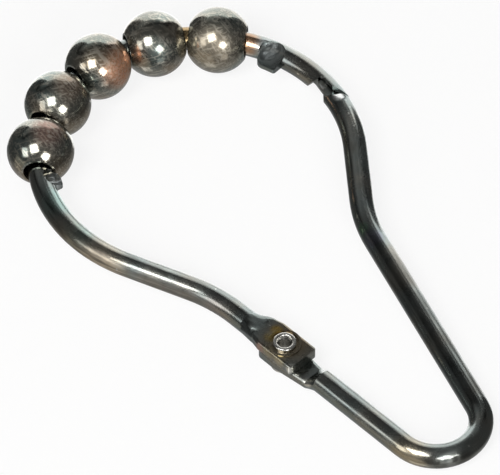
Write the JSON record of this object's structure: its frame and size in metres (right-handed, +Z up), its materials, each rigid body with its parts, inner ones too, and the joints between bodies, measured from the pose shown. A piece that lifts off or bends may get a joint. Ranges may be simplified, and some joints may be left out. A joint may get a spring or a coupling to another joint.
{
  "type": "shower curtain hook",
  "caption": "Pear-shaped wire shower curtain hook with hollow roller balls, a riveted swinging gate and a tongue latch.",
  "frame": {"origin": "on the floor, where the axis of the curtain rod in the ring's bulb meets it", "axes": "+Z up, +Y along the hook from the bend to the roller balls, +X towards the latch side"},
  "size_m": [0.0427, 0.0821, 0.0087],
  "materials": {
    "plated_wire": "black nickel plated steel wire, glossy and slightly uneven",
    "nickel_rivet": "bright nickel plated steel",
    "plated_ball": "black nickel plated steel, satin polished with fine scratches and a bronze tint in places"
  },
  "bodies": {
    "root": {"hook_wire": "plated_wire", "rivet": "nickel_rivet"},
    "gate": {"gate_wire": "plated_wire"},
    "roller_1": {"roller_ball_1": "plated_ball"},
    "roller_2": {"roller_ball_2": "plated_ball"},
    "roller_3": {"roller_ball_3": "plated_ball"},
    "roller_4": {"roller_ball_4": "plated_ball"},
    "roller_5": {"roller_ball_5": "plated_ball"}
  },
  "joints": [
    {"name": "gate_pivot", "type": "hinge", "parent": "root", "child": "gate", "pos_m": [-0.00892, -0.0324, 0.00249], "axis": [0.0041, -0.0392, 0.9992], "range_deg": [0, 120]},
    {"name": "roller_1_spin", "type": "hinge", "parent": "gate", "child": "roller_1", "pos_m": [-0.01579, 0.01158, 0.00425], "axis": [0.5962, 0.8023, 0.029], "continuous": true},
    {"name": "roller_2_spin", "type": "hinge", "parent": "gate", "child": "roller_2", "pos_m": [-0.00972, 0.01694, 0.00443], "axis": [0.869, 0.4945, 0.0159], "continuous": true},
    {"name": "roller_3_spin", "type": "hinge", "parent": "gate", "child": "roller_3", "pos_m": [-0.00201, 0.01942, 0.0045], "axis": [0.9947, 0.103, 0], "continuous": true},
    {"name": "roller_4_spin", "type": "hinge", "parent": "gate", "child": "roller_4", "pos_m": [0.00605, 0.01858, 0.00443], "axis": [0.9519, -0.306, -0.0159], "continuous": true},
    {"name": "roller_5_spin", "type": "hinge", "parent": "gate", "child": "roller_5", "pos_m": [0.01308, 0.01457, 0.00425], "axis": [0.7479, -0.6632, -0.029], "continuous": true}
  ]
}
